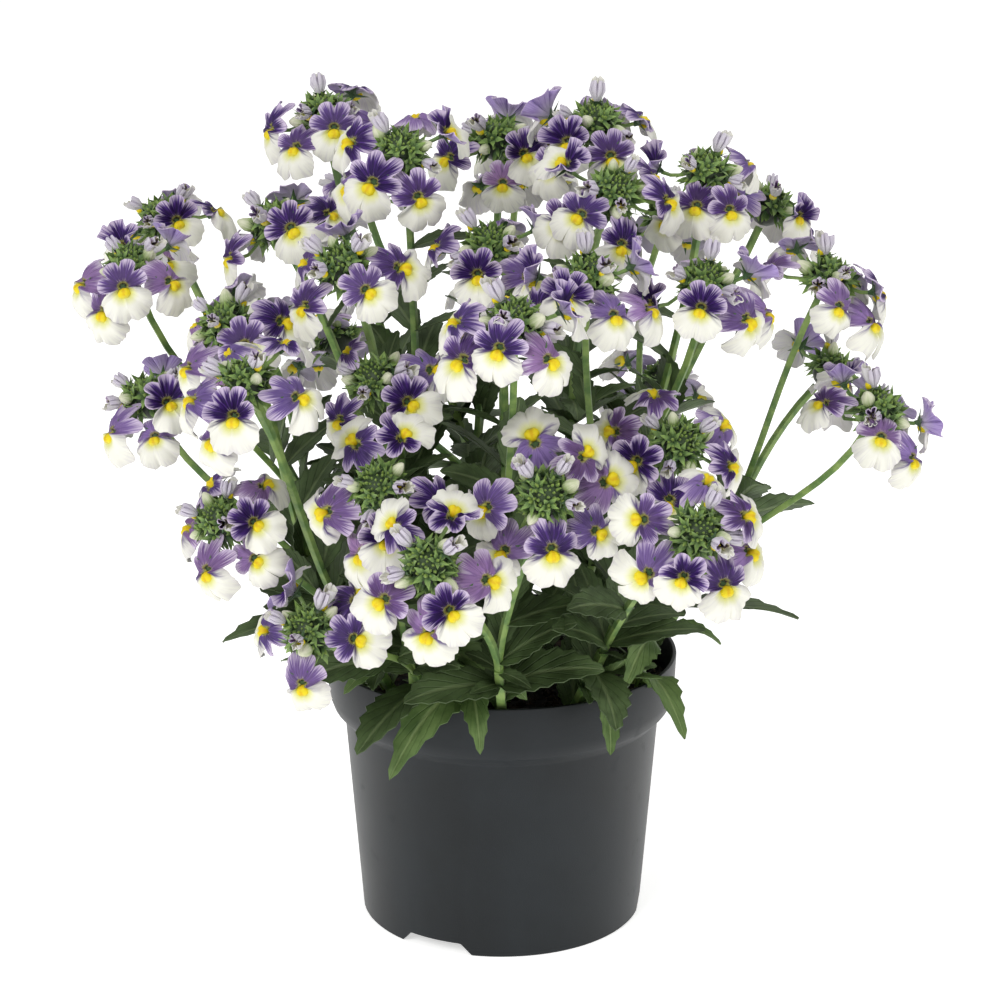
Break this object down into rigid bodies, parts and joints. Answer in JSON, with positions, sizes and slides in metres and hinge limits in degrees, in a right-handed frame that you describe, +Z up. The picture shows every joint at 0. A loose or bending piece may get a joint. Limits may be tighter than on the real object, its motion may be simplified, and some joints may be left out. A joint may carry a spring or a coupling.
{
  "type": "potted flowering plant",
  "caption": "Bushy nemesia with rounded heads of small two-lipped flowers on leafy square stems, in a round plastic nursery pot.",
  "frame": {"origin": "on the floor under the middle of the pot", "axes": "+Z up, -Y towards the side that the picture shows, +X to the right as seen from there"},
  "size_m": [0.307, 0.2948, 0.3089],
  "materials": {
    "pot": "satin black-grey moulded plastic",
    "soil": "dark crumbly peat",
    "bloom": "matt petals, violet to white with a yellow middle",
    "green": "satin green leaves and stems"
  },
  "bodies": {
    "root": {"pot": "pot", "soil": "soil", "head_01": "bloom", "head_02": "bloom", "head_03": "bloom", "head_04": "bloom", "head_05": "bloom", "head_06": "bloom", "head_07": "bloom", "head_08": "bloom", "head_09": "bloom", "head_10": "bloom", "head_11": "bloom", "head_12": "bloom", "head_13": "bloom", "head_14": "bloom", "head_15": "bloom", "head_16": "bloom", "head_17": "bloom", "head_18": "bloom", "head_19": "bloom", "head_20": "bloom", "head_21": "bloom", "head_22": "bloom", "head_23": "bloom", "head_24": "bloom", "head_25": "bloom", "head_26": "bloom", "head_27": "bloom", "head_28": "bloom", "head_29": "bloom", "head_30": "bloom", "head_31": "bloom", "head_32": "bloom", "head_33": "bloom", "head_34": "bloom", "head_35": "bloom", "head_36": "bloom", "shoot_1": "green", "shoot_2": "green", "shoot_3": "green", "shoot_4": "green", "shoot_5": "green", "stem_01": "green", "stem_02": "green", "stem_03": "green", "stem_04": "green", "stem_05": "green", "stem_06": "green", "stem_07": "green", "stem_08": "green", "stem_09": "green", "stem_10": "green", "stem_11": "green", "stem_12": "green", "stem_13": "green", "stem_14": "green", "stem_15": "green"}
  },
  "joints": []
}
